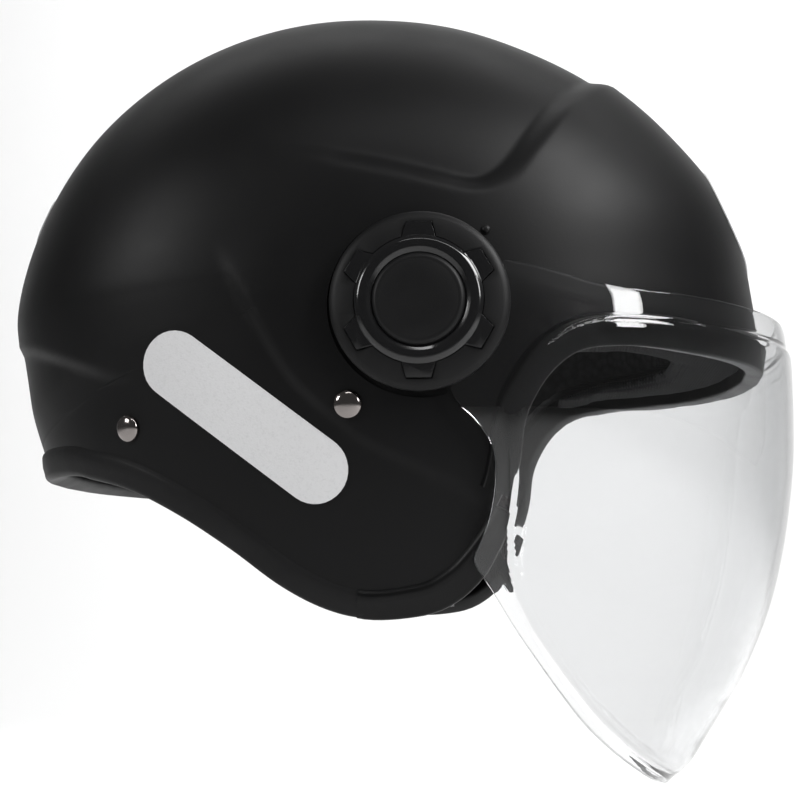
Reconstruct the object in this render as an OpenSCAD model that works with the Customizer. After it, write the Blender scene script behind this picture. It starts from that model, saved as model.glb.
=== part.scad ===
// Open face motorcycle helmet with a long clear visor.
// Frame: origin at the head centre, +X to the front, +Y to the wearer's left, +Z up. Millimetres.

/* [Shell] */
// Half width of the outer shell across the pivots
shell_half_w = 117; // [115:1:118]
// Wall of the outer shell
shell_wall = 3.6; // [3:0.2:4.4]
// Height of the raised brow band over the crown
band_rise = 3.5; // [2:0.5:4]
// Squareness of the shell's cross-section
shell_square = 2.3; // [2.1:0.1:2.5]

/* [Linings] */
// Thickness of the foam liner inside the shell
foam_wall = 26; // [22:1:28]
// Thickness of the sewn comfort lining
cloth_wall = 7; // [5:1:8]
// Inner face of the cheek pads, from the middle plane
cheek_inner_y = 70; // [66:1:74]

/* [Visor] */
// Thickness of the visor sheet
visor_wall = 2.2; // [2:0.1:2.6]
// Half width of the visor at its pivots, inside face of the ears
visor_half_w = 119.5; // [119.2:0.1:120.5]
// Front of the visor, at its furthest
visor_front = 143; // [142:1:145]

/* [Pivot] */
// Pivot axis, forward of the head centre
pivot_x = 20; // [19:0.5:22]
// Pivot axis, above the head centre
pivot_z = -13; // [-14.5:0.5:-12]
// Radius of the dished visor cover
cover_r = 27.8; // [27:0.1:28]
// Radius of the pivot boss
boss_r = 8; // [7:0.5:9]

/* [Chin strap] */
// Width of the strap webbing
strap_w = 22; // [20:1:24]
// Thickness of the strap webbing
strap_t = 1.6; // [1.4:0.1:1.8]
// Lowest point of the fastened strap
strap_low_z = -102; // [-104:1:-100]

/* [Fasteners and marks] */
// Diameter of the strap rivet heads
rivet_d = 9; // [8:0.5:10]
// Width of the reflective side strips
strip_w = 21; // [18:1:24]
// Length of the side strips between their end centres
strip_l = 57; // [50:1:60]

/* [Hidden] */
RIGHT = -1;
LEFT = 1;
round_fn = 64;
lon_steps = 42;
lat_steps = 20;
far = 400;

// Side profile of the crown: [angle up from the front, radius from the head centre].
// Below the rim the radii only shape how the side walls tuck in.
PROFILE = [
    [0, 130], [15, 127], [30, 119.5], [45, 113.8], [60, 109.5], [75, 108], [90, 108],
    [105, 110.4], [120, 114.2], [135, 119.2], [150, 125], [165, 130.5], [180, 136],
    [186, 136], [195, 136], [210, 139], [240, 160], [270, 185], [300, 180],
    [330, 155], [345, 138], [360, 130]];

// Lower and front rim of the shell in side view, from the rear round to the brow
RIM = [
    [-160, -52], [-107, -52], [-90, -55], [-73, -60], [-54, -69.5], [-36, -81], [-20, -92.5],
    [-7, -99], [4, -101], [18.5, -99], [25, -96], [31, -91], [38, -82], [44, -72], [47, -62],
    [49, -48], [54, -37], [61, -28.5], [70, -23], [84, -21], [97, -21], [110, -21.5],
    [160, -22.5]];

function skin_r(angle) = lookup((angle % 360 + 360) % 360, PROFILE);
function ease(t) = let(u = min(1, max(0, t))) u * u * (3 - 2 * u);
// The band rises in front of and below the crease that runs from the temple up to the crown
function crease_z(x) = x < 35 ? 28 + (35 - x) * 0.21 : 28 + (x - 35) * 1.22;
function rise(x, z) =
    band_rise * ease((crease_z(x) + 5 - z) / 10) * ease((x + 40) / 75);
function taper(x) = 1 - 0.05 * x / 130;
function side_y(rho, x) = shell_half_w * taper(x) * pow(max(0, 1 - pow(rho, shell_square)),
                                                         1 / shell_square);
// A point of the skin; deep is how far inside the outer face it lies
function skin_point(angle, lat, deep) =
    let(rho = pow(cos(lat), 2 / shell_square),
        r = skin_r(angle),
        x = r * rho * cos(angle), z = r * rho * sin(angle),
        y = sign(lat) * shell_half_w * taper(x) * pow(abs(sin(lat)), 2 / shell_square),
        p = [x, y, z],
        len = norm(p))
    p * ((len + rise(x, z) - deep) / len);
// How far from the middle plane the skin stands at a place in side view
function skin_y(x, z) =
    side_y(norm([x, z]) / skin_r(atan2(z, x)), x) + rise(x, z);
function skin_normal(x, z, side) =
    let(e = 1,
        n = [skin_y(x - e, z) - skin_y(x + e, z), 2 * e * side, skin_y(x, z - e) - skin_y(x, z + e)])
    n / norm(n);

// ---- shared shapes ----
module dome(deep) {
    rings = lat_steps - 1;
    last = rings * lon_steps + 1;
    polyhedron(
        points = concat(
            [skin_point(0, -90, deep)],
            [for (j = [1:rings], i = [0:lon_steps - 1])
                skin_point(i * 360 / lon_steps, -90 + 180 * j / lat_steps, deep)],
            [skin_point(0, 90, deep)]),
        faces = concat(
            [for (i = [0:lon_steps - 1]) [0, 1 + (i + 1) % lon_steps, 1 + i]],
            [for (j = [0:rings - 2], i = [0:lon_steps - 1])
                let(a = 1 + j * lon_steps + i, b = 1 + j * lon_steps + (i + 1) % lon_steps)
                each [[a, b, b + lon_steps], [a, b + lon_steps, a + lon_steps]]],
            [for (i = [0:lon_steps - 1])
                [last, last - lon_steps + i, last - lon_steps + (i + 1) % lon_steps]]));
}

// A side-view outline carried right across the helmet
module side_prism(outline) {
    rotate([90, 0, 0]) linear_extrude(height = far, center = true) polygon(outline);
}

// One side of the helmet only, from near_y outwards
module side_only(side, near_y) {
    translate([-far / 2, side > 0 ? near_y : -near_y - far, -far / 2]) cube(far);
}

// Everything above the rim
module above_rim() {
    side_prism(concat(RIM, [[160, 160], [-160, 160]]));
}

// Turns +Z of a small piece to a direction and puts it at a place
module aim(place, dir) {
    side_dir = cross([0, 0, 1], dir) / norm(cross([0, 0, 1], dir));
    up_dir = cross(dir, side_dir);
    multmatrix([
        [side_dir[0], up_dir[0], dir[0], place[0]],
        [side_dir[1], up_dir[1], dir[1], place[1]],
        [side_dir[2], up_dir[2], dir[2], place[2]],
        [0, 0, 0, 1]]) children();
}

// Puts a small piece on the skin, standing outwards
module on_skin(x, z, side, out = 0) {
    n = skin_normal(x, z, side);
    aim([x, side * skin_y(x, z), z] + n * out, n) children();
}

// Puts a piece on the pivot axis, its Z pointing outwards from height y
module on_pivot(side, y) {
    translate([pivot_x, side * y, pivot_z]) rotate([-side * 90, 0, 0]) children();
}

// A flat band swept along a route; each stop is [centre, width direction]
module band(stops, width, thick) {
    n = len(stops);
    function along(i) =
        let(d = stops[min(n - 1, i + 1)][0] - stops[max(0, i - 1)][0]) d / norm(d);
    function corners(i) =
        let(w = stops[i][1] / norm(stops[i][1]) * width / 2,
            t = cross(along(i), w) / norm(cross(along(i), w)) * thick / 2,
            c = stops[i][0])
        [c - w - t, c + w - t, c + w + t, c - w + t];
    polyhedron(
        points = [for (i = [0:n - 1]) each corners(i)],
        faces = concat(
            [[0, 1, 2], [0, 2, 3]],
            [for (i = [0:n - 2], k = [0:3])
                let(a = 4 * i + k, b = 4 * i + (k + 1) % 4)
                each [[a, a + 4, b + 4], [a, b + 4, b]]],
            [[4 * n - 1, 4 * n - 2, 4 * n - 3], [4 * n - 1, 4 * n - 3, 4 * n - 4]]));
}

// ---- shell ----
vent_angle = 40;
// The shell slopes away from square to the radius at the vent
vent_lean = 12;
vent_r = skin_r(vent_angle) + band_rise;
pocket_y = visor_half_w - 3;
RIVETS = [[-2.5, -44], [-75.7, -49]];

module at_vent(out = 0) {
    rotate([0, -vent_angle, 0]) translate([vent_r, 0, 0]) rotate([0, -vent_lean, 0])
        translate([out, 0, 0]) rotate([0, 90, 0]) children();
}

module shell() {
    color([0.06, 0.06, 0.065]) resize([0, 0, 0]) difference() {
        intersection() { dome(0); above_rim(); }
        dome(shell_wall);
        for (side = [RIGHT, LEFT]) {
            on_pivot(side, pocket_y) cylinder(r = cover_r + 0.6, h = 20, $fn = 48);
            for (x = [-16, 16]) on_pivot(side, pocket_y - 10)
                translate([x, 0, 0]) cylinder(d = 3.4, h = 20, $fn = 16);
            on_pivot(side, pocket_y - 10) cylinder(d = 9, h = 20, $fn = 24);
            for (p = RIVETS) on_skin(p[0], p[1], side, -12) cylinder(d = 4.6, h = 20, $fn = 16);
        }
        at_vent(-9) vent_plan(13.4, 20.4, 12);
    }
}

// Rounded oblong, long across the helmet
module vent_plan(half_x, half_y, h) {
    r = 5;
    linear_extrude(height = h) union() {
        square([2 * half_x - 2 * r, 2 * half_y], center = true);
        square([2 * half_x, 2 * half_y - 2 * r], center = true);
        for (x = [-1, 1], y = [-1, 1]) translate([x * (half_x - r), y * (half_y - r)])
            circle(r = r, $fn = 24);
    }
}

// ---- linings ----
foam_in = shell_wall + 0.4 + foam_wall;
cloth_in = foam_in + 0.5 + cloth_wall;
FOAM_RIM = [[-160, -44], [-100, -44], [-60, -40], [-30, -34], [30, -34], [45, -32], [58, -20],
            [80, -14], [160, -13], [160, 160], [-160, 160]];
CLOTH_RIM = [[-160, -30], [-60, -24], [40, -24], [52, 2], [160, 4], [160, 160], [-160, 160]];

module foam_liner() {
    color([0.12, 0.12, 0.12]) resize([0, 0, 0]) difference() {
        intersection() { dome(shell_wall + 0.4); side_prism(FOAM_RIM); }
        dome(foam_in);
        at_vent(-9) vent_plan(14, 21, 20);
        at_vent(-60) cylinder(r = 9, h = 60, $fn = 24);
        for (side = [RIGHT, LEFT]) {
            on_pivot(side, 90) cylinder(r = 20, h = 40, $fn = 24);
            for (p = RIVETS) on_skin(p[0], p[1], side, -14) cylinder(r = 12.5, h = 20, $fn = 24);
        }
    }
}

SNAPS = [[-52, -14], [-12, -16], [34, -14]];
module crown_lining() {
    color([0.09, 0.09, 0.095]) resize([0, 0, 0]) difference() {
        intersection() { dome(foam_in + 0.5); side_prism(CLOTH_RIM); }
        dome(cloth_in);
        for (side = [RIGHT, LEFT], p = SNAPS) on_skin(p[0], p[1], side, -foam_in - 0.7)
            cylinder(d = 9.8, h = 8, $fn = 24);
    }
}

// Front edge of the lining, folded under the brow of the foam
module brow_lining() {
    color([0.1, 0.1, 0.1]) resize([0, 0, 0]) intersection() {
        difference() { dome(shell_wall + 2.5); dome(cloth_in - 1); }
        side_prism([[62, -24], [84, -20], [150, -20.5], [150, -14.5], [80, -15.5], [63, -20.5]]);
    }
}

module neck_roll() {
    color([0.08, 0.08, 0.085]) resize([0, 0, 0]) difference() {
        intersection() {
            dome(shell_wall + 8.4);
            side_prism([[-160, -47], [-104, -45], [-66, -42], [-52, -46], [-50, -62], [-62, -62],
                        [-78, -57], [-92, -53], [-107, -50.5], [-160, -50]]);
        }
        dome(foam_in);
    }
}

CHEEK = [[-46, -38], [-46, -64], [-34, -74], [-18, -86], [-4, -92], [16, -92], [28, -86],
         [36, -74], [42, -58], [43, -46], [40, -38], [22, -37], [-20, -37]];
module cheek_pad(side) {
    color([0.09, 0.09, 0.095]) resize([0, 0, 0]) intersection() {
        dome(shell_wall + 11.5);
        side_prism(CHEEK);
        side_only(side, cheek_inner_y);
    }
}
module cheek_pad_right() cheek_pad(RIGHT);
module cheek_pad_left() cheek_pad(LEFT);

// Press studs that hold the lining to the foam
module lining_snaps() {
    color([0.15, 0.15, 0.16]) for (side = [RIGHT, LEFT], p = SNAPS)
        on_skin(p[0], p[1], side, -foam_in - 0.45) cylinder(d = 9, h = 2.2, $fn = round_fn);
}

// ---- edge trims ----
// A band of trim along a side-view strip, following the skin from out to in
module rim_band(strip, out, in, side) {
    resize([0, 0, 0]) intersection() {
        difference() { dome(-out); dome(in); }
        side_prism(strip);
        if (side != 0) side_only(side, 4);
    }
}

module face_trim() {
    color([0.05, 0.05, 0.05]) rim_band(concat(
        [for (i = [13:22]) RIM[i] + [0.1, -0.3]],
        [[162, -24.5]],
        [for (i = [22:-1:13]) RIM[i] + (i < 18 ? [3.6, -1.6] : [1.4, -3.8])]), 1.2, shell_wall + 2, 0);
}

module rear_trim() {
    color([0.09, 0.09, 0.09]) rim_band(concat(
        [for (i = [0:7]) RIM[i] + [0, -0.3]], [[1.3, -100.8], [0.6, -111.5]],
        [[-9, -107.5], [-20, -102], [-30, -95.5], [-41, -88], [-53, -79.5], [-65, -73],
         [-77, -68], [-91, -64.5], [-106, -62], [-160, -62]]), 1.5, shell_wall + 5, 0);
}

module cheek_trim(side) {
    color([0.05, 0.05, 0.055]) rim_band([
        [1.8, -101.6], [4, -101.5], [18.5, -99.5], [25, -96.4], [31.3, -91.5], [38.4, -82.3],
        [43.2, -74], [47.2, -75.5], [46.5, -84], [42, -94], [36, -102], [28, -107.5], [18, -111],
        [8, -112], [1.2, -111.6]], 1.5, shell_wall + 5, side);
}
module cheek_trim_right() cheek_trim(RIGHT);
module cheek_trim_left() cheek_trim(LEFT);

// ---- forehead vent ----
module vent_frame() {
    color([0.07, 0.07, 0.07]) at_vent(-4) difference() {
        vent_plan(13, 20, 4.6);
        translate([0, 0, 1.2]) vent_plan(11, 18, 5);
        for (y = [-9, 9]) translate([-6.5, y - 5, -1]) cube([5, 10, 5]);
    }
}

module vent_slider() {
    color([0.05, 0.05, 0.05]) at_vent(-2.6) union() {
        translate([-7.5, -14.6, 0]) cube([12, 29.2, 1.8]);
        translate([-5, -7, 1.7]) cube([5, 14, 2.4]);
    }
}

module vent_screen() {
    color([0.2, 0.2, 0.2]) at_vent(-5.2) difference() {
        translate([-6, -16, 0]) cube([12, 32, 1]);
        for (x = [-4:2:4], y = [-14:2:14]) translate([x - 0.6, y - 0.6, -1]) cube([1.2, 1.2, 3]);
    }
}

// ---- reflective strips ----
strip_tilt = -36.7;
film_t = 0.45;
module skin_label() {
    resize([0, 0, 0]) intersection() {
        difference() { dome(-film_t); dome(-0.05); }
        children();
    }
}
module strip_side(side) {
    color([0.72, 0.72, 0.73]) skin_label() intersection() {
        rotate([90, 0, 0]) translate([-36, -46.7, 0]) rotate(strip_tilt)
            linear_extrude(height = far, center = true) union() {
                square([strip_l, strip_w], center = true);
                for (s = [-1, 1]) translate([s * strip_l / 2, 0]) circle(d = strip_w, $fn = 32);
            }
        side_only(side, 20);
    }
}
module strip_side_right() strip_side(RIGHT);
module strip_side_left() strip_side(LEFT);
module strip_front() {
    color([0.85, 0.85, 0.86]) skin_label() rotate([0, -15, 0]) rotate([0, 90, 0])
        scale([1, 2.1, 1]) cylinder(d = 42, h = far, $fn = 40);
}
module strip_rear() {
    color([0.72, 0.72, 0.73]) skin_label() rotate([0, 180 + 15, 0]) rotate([0, 90, 0])
        scale([1, 4.2, 1]) cylinder(d = 26, h = far, $fn = 48);
}

// ---- visor pivots ----
base_h = 2.7;
ear_y = visor_half_w;
ear_out = ear_y + visor_wall;
ear_r = 27.2;
boss_top = ear_out + 0.3;
module pivot_base(side) {
    color([0.1, 0.1, 0.1]) on_pivot(side, pocket_y) difference() {
        union() {
            cylinder(r = 26, h = base_h, $fn = round_fn);
            cylinder(r = boss_r, h = boss_top - pocket_y, $fn = round_fn);
            translate([0, 0, -7]) cylinder(r = 4.3, h = 8, $fn = round_fn);
        }
        translate([0, 0, -8]) cylinder(r = 2, h = 20, $fn = round_fn);
        for (x = [-16, 16]) translate([x, 0, -1]) {
            cylinder(d = 3.2, h = 8, $fn = round_fn);
            translate([0, 0, 2]) cylinder(d = 6, h = 8, $fn = round_fn);
        }
    }
}
module pivot_base_right() pivot_base(RIGHT);
module pivot_base_left() pivot_base(LEFT);

module pivot_washer(side) {
    color([0.7, 0.7, 0.72]) on_pivot(side, boss_top) difference() {
        cylinder(r = 11, h = 1, $fn = round_fn);
        translate([0, 0, -1]) cylinder(r = 2.1, h = 4, $fn = round_fn);
    }
}
module pivot_washer_right() pivot_washer(RIGHT);
module pivot_washer_left() pivot_washer(LEFT);

module pivot_screw(side) {
    color([0.6, 0.6, 0.62]) on_pivot(side, boss_top + 1) difference() {
        union() {
            cylinder(d = 8, h = 1.8, $fn = round_fn);
            translate([0, 0, -10]) cylinder(d = 3.8, h = 10, $fn = round_fn);
        }
        for (a = [0, 90]) rotate(a) translate([-2.2, -0.5, 1]) cube([4.4, 1, 2]);
    }
}
module pivot_screw_right() pivot_screw(RIGHT);
module pivot_screw_left() pivot_screw(LEFT);

// Two countersunk screws hold each pivot base to the shell
module base_screws() {
    color([0.55, 0.55, 0.57]) for (side = [RIGHT, LEFT], x = [-16, 16])
        on_pivot(side, pocket_y + 1) translate([x, 0, 0]) union() {
            translate([0, 0, 0.05]) cylinder(d = 5.6, h = 1.5, $fn = round_fn);
            translate([0, 0, -8]) cylinder(d = 3, h = 8.1, $fn = round_fn);
        }
}

// Dished disc with six notches for the lugs of the star hub
lug_r = 24;
hub_r = 19.8;
module lug(tip, root, reach) {
    polygon([[0, -root / 2], [hub_r - 1, -root / 2], [reach, -tip / 2],
             [reach, tip / 2], [hub_r - 1, root / 2], [0, root / 2]]);
}
module visor_cover(side) {
    color([0.08, 0.08, 0.08]) on_pivot(side, ear_out) difference() {
        rotate_extrude($fn = 96) polygon([
            [12.5, 0], [cover_r - 1.6, 0], [cover_r, 0.6], [cover_r, 2], [cover_r - 0.8, 3],
            [cover_r - 2.2, 3.6], [hub_r + 0.2, 4.8], [hub_r + 0.2, 1.5], [12.5, 1.5]]);
        for (k = [0:5]) rotate(30 + 60 * k) translate([0, 0, 1.5]) linear_extrude(height = 6)
            lug(8, 11, lug_r + 0.2);
    }
}
module visor_cover_right() visor_cover(RIGHT);
module visor_cover_left() visor_cover(LEFT);

module star_hub(side) {
    color([0.03, 0.03, 0.03]) on_pivot(side, ear_out) difference() {
        union() {
            translate([0, 0, 1.5]) linear_extrude(height = 3.4)
                for (k = [0:5]) rotate(30 + 60 * k) lug(7.6, 10.6, lug_r);
            rotate_extrude($fn = 96) polygon([
                [12.6, 1.5], [hub_r, 1.5], [hub_r, 4.9], [18.4, 5.9], [16, 5.9], [14.9, 5.2],
                [12.6, 5.2]]);
        }
        cylinder(r = 12.5, h = 10, $fn = 96);
        translate([0, 0, 4]) cylinder(r = 14.3, h = 10, $fn = 96);
    }
}
module star_hub_right() star_hub(RIGHT);
module star_hub_left() star_hub(LEFT);

module centre_cap(side) {
    color([0.09, 0.09, 0.09]) on_pivot(side, ear_out) rotate_extrude($fn = 96) polygon([
        [0, 4], [14.2, 4], [14.2, 5.6], [13.4, 6.3], [12.6, 6.5], [0, 6.8]]);
}
module centre_cap_right() centre_cap(RIGHT);
module centre_cap_left() centre_cap(LEFT);

// ---- visor ----
// Front contour in the middle plane: [height, furthest x]
VISOR_FRONT = [[-170, 97], [-168.3, 98.1], [-161.7, 104.4], [-151.4, 110.7], [-140, 117.5], [-128.7, 124],
               [-107, 133], [-85, 138.6], [-60, visor_front - 0.8], [-40, visor_front], [-19, 142.6],
               [1, 140.7]];
// Half width of each level
VISOR_WIDE = [[-170, 44], [-161, 60], [-151, 74], [-140, 84], [-128, 92], [-106, 104],
              [-83, 112], [-57, 118], [-36, ear_y + 0.5], [4, ear_y + 0.5]];
// Rear edge, from the top round the lower corner to the chin tip: [x, z]
VISOR_REAR = [[46, -0.5], [36, -8], [30, -18], [28, -30], [30, -42], [37, -49], [42, -57], [42.6, -66],
              [40.6, -79], [36, -90.5], [41, -101], [50, -116], [66.5, -140], [77, -151.8],
              [86, -159.8], [92.8, -165.3], [97.3, -168.3]];
visor_rows = len(VISOR_REAR);
visor_cols = 26;
function visor_point(row, col, deep) =
    let(edge = VISOR_REAR[row],
        s = 2 * col / visor_cols - 1,
        dip = ease((1 - abs(s)) / 0.25),
        z = edge[1] - (row == 0 ? 7.2 : row == 1 ? 2.5 : 0) * dip,
        a = lookup(edge[1], VISOR_FRONT) - pivot_x,
        w = lookup(edge[1], VISOR_WIDE),
        edge_angle = acos(min(1, max(0, pow(max(0, (edge[0] - pivot_x)) / a, 1.15)))),
        t = edge_angle * s,
        nx = pow(cos(t), 2 / 2.3), ny = sign(t) * pow(abs(sin(t)), 2 / 2.3))
    [pivot_x + (a - deep) * nx, (w + visor_wall - deep) * ny, z];

module visor_sheet() {
    cols = visor_cols + 1;
    half = visor_rows * cols;
    function at(row, col, layer) = layer * half + row * cols + col;
    polyhedron(
        points = [for (deep = [0, visor_wall], row = [0:visor_rows - 1], col = [0:visor_cols])
            visor_point(row, col, deep)],
        faces = concat(
            [for (row = [0:visor_rows - 2], col = [0:visor_cols - 1])
                let(a = at(row, col, 0), b = at(row, col + 1, 0), c = at(row + 1, col + 1, 0),
                    d = at(row + 1, col, 0))
                each [[a, b, c], [a, c, d], [c + half, b + half, a + half],
                      [d + half, c + half, a + half]]],
            [for (col = [0:visor_cols - 1])
                let(a = at(0, col, 0), b = a + 1, c = at(visor_rows - 1, col, 0), d = c + 1)
                each [[a, a + half, b + half], [a, b + half, b], [c, d, d + half],
                      [c, d + half, c + half]]],
            [for (row = [0:visor_rows - 2])
                let(a = at(row, 0, 0), b = at(row + 1, 0, 0), c = at(row, visor_cols, 0),
                    d = at(row + 1, visor_cols, 0))
                each [[a, b, b + half], [a, b + half, a + half], [c, c + half, d + half],
                      [c, d + half, d]]]));
}

module visor() {
    color([0.75, 0.78, 0.8, 0.4]) union() {
        resize([0, 0, 0]) difference() {
            visor_sheet();
            for (side = [RIGHT, LEFT]) on_pivot(side, ear_y - 20)
                cylinder(r = ear_r - 0.6, h = 40, $fn = 96);
        }
        for (side = [RIGHT, LEFT]) on_pivot(side, ear_y) difference() {
            cylinder(r = ear_r, h = visor_wall, $fn = 96);
            translate([0, 0, -1]) cylinder(r = boss_r + 0.3, h = 5, $fn = 96);
        }
    }
}

// ---- chin strap ----
module strap_rivets() {
    color([0.8, 0.8, 0.82]) for (side = [RIGHT, LEFT], p = RIVETS)
        on_skin(p[0], p[1], side, 0.1) union() {
            rotate_extrude($fn = round_fn) polygon([
                [0, 0], [rivet_d / 2, 0], [rivet_d / 2, 0.7], [rivet_d * 0.42, 1.5],
                [rivet_d * 0.28, 2], [rivet_d * 0.14, 2.2], [0, 2.3]]);
            translate([0, 0, -9.3]) cylinder(d = 4, h = 9.4, $fn = round_fn);
        }
}

module rivet_washers() {
    color([0.6, 0.6, 0.62]) for (side = [RIGHT, LEFT], p = RIVETS)
        on_skin(p[0], p[1], side, -9.15) difference() {
            cylinder(d = 13, h = 1.2, $fn = round_fn);
            translate([0, 0, -1]) cylinder(d = 4.3, h = 4, $fn = round_fn);
        }
}

// Each strap branch starts under its rivet washer and follows the inner wall of the shell down
strap_deep = shell_wall + 2.8;
// A stop below the skin, its width turned into the wall's own slope
function wall_stop(x, z, side, deep, across) =
    let(n = skin_normal(x, z, side))
    [[x, side * skin_y(x, z), z] - n * deep, across - n * (across * n)];
function cross_stop(y, z, x = 12) = [[x, y, z], [1, 0, 0]];
BUCKLE = [12, -48, strap_low_z + 0.5];
strap_end_left = 6;
module strap_front(side) {
    flat = [1, 0, 0];
    color([0.05, 0.05, 0.055]) band(concat(
        [wall_stop(-2.5, -36, side, strap_deep, flat), wall_stop(-2.5, -47, side, strap_deep, flat),
         wall_stop(1, -60, side, strap_deep, flat), wall_stop(5, -76, side, strap_deep + 0.3, flat),
         wall_stop(9, -89, side, strap_deep + 0.8, flat)],
        [for (s = [[95.5, -96, 10.5], [88, -99, 11.5], [80, -100.3, 12], [66.9, -100.9, 12]])
            cross_stop(side * s[0], s[1], s[2])],
        side > 0 ? [for (y = [50, 34, 20, strap_end_left])
            cross_stop(y, strap_low_z + 0.9 * y / 60 - 0.2)] : []),
        strap_w, strap_t);
}
module strap_front_right() strap_front(RIGHT);
module strap_front_left() strap_front(LEFT);

module strap_rear(side) {
    across = [0.5, 0, 0.85];
    color([0.05, 0.05, 0.055]) band([
        wall_stop(-82, -46.5, side, strap_deep, across), wall_stop(-72, -51, side, strap_deep, across),
        wall_stop(-58, -58, side, strap_deep, across), wall_stop(-40, -66, side, strap_deep + 0.4, across),
        wall_stop(-22, -75, side, strap_deep + 1.4, across),
        wall_stop(-9, -81, side, strap_deep + 2.5, across),
        wall_stop(3, -85, side, strap_deep + 2.8, across)], strap_w * 0.8, strap_t);
}
module strap_rear_right() strap_rear(RIGHT);
module strap_rear_left() strap_rear(LEFT);

module chin_pad() {
    color([0.1, 0.1, 0.1]) translate([12, 34, strap_low_z + 5.2]) resize([0, 0, 0])
        hull() for (x = [-10, 10], y = [-16, 16]) translate([x, y, 0])
            cylinder(r = 4, h = 7, center = true, $fn = 24);
}

// ---- ratchet buckle, hung under the throat on the right ----
pin_y = -13;
pin_z = -2.9;
module buckle_body() {
    color([0.1, 0.1, 0.1]) translate(BUCKLE) difference() {
        union() {
            translate([-13, -18, 1.5]) cube([26, 36, 3]);
            for (x = [-13, 11]) translate([x, -18, -4.5]) cube([2, 36, 6.1]);
            translate([-13, -18, -1.6]) cube([26, 1.8, 4]);
        }
        translate([-20, pin_y, pin_z]) rotate([0, 90, 0]) cylinder(r = 1.5, h = 40, $fn = 32);
    }
}
module buckle_pin() {
    color([0.7, 0.7, 0.72]) translate(BUCKLE) translate([-12.8, pin_y, pin_z]) rotate([0, 90, 0])
        cylinder(r = 1.5, h = 25.6, $fn = 32);
}
module buckle_lever() {
    color([0.6, 0.05, 0.05]) translate(BUCKLE) difference() {
        union() {
            translate([-10.4, pin_y + 2, -5]) cube([20.8, 29, 2.2]);
            translate([-7, pin_y + 31, -5]) cube([14, 5, 3.2]);
            translate([-6, 2, -2.9]) cube([12, 2.4, 0.9]);
            for (x = [-10.4, 4]) translate([x, pin_y, pin_z]) rotate([0, 90, 0])
                cylinder(r = 2.9, h = 6.4, $fn = 32);
        }
        translate([-20, pin_y, pin_z]) rotate([0, 90, 0]) cylinder(r = 1.57, h = 40, $fn = 32);
        translate([-3.9, pin_y - 4, -8]) cube([7.8, 8.2, 10]);
    }
}
module buckle_spring() {
    color([0.75, 0.75, 0.77]) translate(BUCKLE) for (x = [-2.7:1.08:2.8])
        translate([x, pin_y, pin_z]) rotate([0, 90, 0]) rotate_extrude($fn = 32)
            translate([2.4, 0]) circle(d = 1, $fn = 16);
}
module ratchet_tongue() {
    color([0.12, 0.12, 0.12]) translate([BUCKLE[0], 0, BUCKLE[2]]) union() {
        translate([-7, -56, -1.1]) cube([14, 61, 2.2]);
        for (k = [0:13]) translate([-6, -54 + 2.6 * k, -1.1]) rotate([90, 0, 90])
            linear_extrude(height = 12) polygon([[0, 0.2], [0, -0.7], [1.8, 0.2]]);
    }
}

shell();
foam_liner();
crown_lining();
brow_lining();
neck_roll();
cheek_pad_right();
cheek_pad_left();
lining_snaps();
face_trim();
rear_trim();
cheek_trim_right();
cheek_trim_left();
vent_frame();
vent_slider();
vent_screen();
strip_side_right();
strip_side_left();
strip_front();
strip_rear();
pivot_base_right();
pivot_base_left();
pivot_washer_right();
pivot_washer_left();
pivot_screw_right();
pivot_screw_left();
base_screws();
visor();
visor_cover_right();
visor_cover_left();
star_hub_right();
star_hub_left();
centre_cap_right();
centre_cap_left();
strap_rivets();
rivet_washers();
strap_front_right();
strap_rear_right();
strap_front_left();
strap_rear_left();
chin_pad();
buckle_body();
buckle_pin();
buckle_lever();
buckle_spring();
ratchet_tongue();
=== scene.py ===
"""Open face motorcycle helmet with a long clear visor: the visual model round the CAD frame.

Lengths in the shape functions are millimetres in the CAD's own frame (+X front, +Y left, +Z up,
origin at the head centre); put() turns them to metres when a mesh is made.
"""
import math
import bmesh
import bpy
import numpy as np
from mathutils import Matrix, Vector


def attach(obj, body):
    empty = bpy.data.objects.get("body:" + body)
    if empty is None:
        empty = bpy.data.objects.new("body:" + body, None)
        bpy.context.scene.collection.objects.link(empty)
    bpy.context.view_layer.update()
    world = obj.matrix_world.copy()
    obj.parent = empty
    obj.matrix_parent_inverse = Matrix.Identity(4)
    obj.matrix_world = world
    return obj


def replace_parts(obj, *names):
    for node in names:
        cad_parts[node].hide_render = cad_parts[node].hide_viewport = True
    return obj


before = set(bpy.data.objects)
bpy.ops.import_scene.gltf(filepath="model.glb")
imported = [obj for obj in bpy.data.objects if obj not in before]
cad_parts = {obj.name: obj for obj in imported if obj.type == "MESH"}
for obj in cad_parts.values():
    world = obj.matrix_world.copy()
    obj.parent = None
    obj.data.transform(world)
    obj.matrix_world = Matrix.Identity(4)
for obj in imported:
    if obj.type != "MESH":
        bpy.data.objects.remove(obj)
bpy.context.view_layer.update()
MM = 0.001
RIGHT, LEFT = -1, 1

# ---- driving sizes, as in the CAD
SHELL_HALF_W = 117.0
SHELL_WALL = 3.6
SQUARE = 2.3
BAND_RISE = 3.5
FOAM_WALL = 26.0
CLOTH_WALL = 7.0
FOAM_IN = SHELL_WALL + 0.4 + FOAM_WALL
CLOTH_IN = FOAM_IN + 0.5 + CLOTH_WALL
PIVOT = (20.0, -13.0)
EAR_Y = 119.5
VISOR_WALL = 2.2
EAR_OUT = EAR_Y + VISOR_WALL
RIVETS = [(-2.5, -44.0), (-75.7, -49.0)]
VENT_ANGLE, VENT_LEAN = 40.0, 12.0
STRAP_LOW = -102.0

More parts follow.
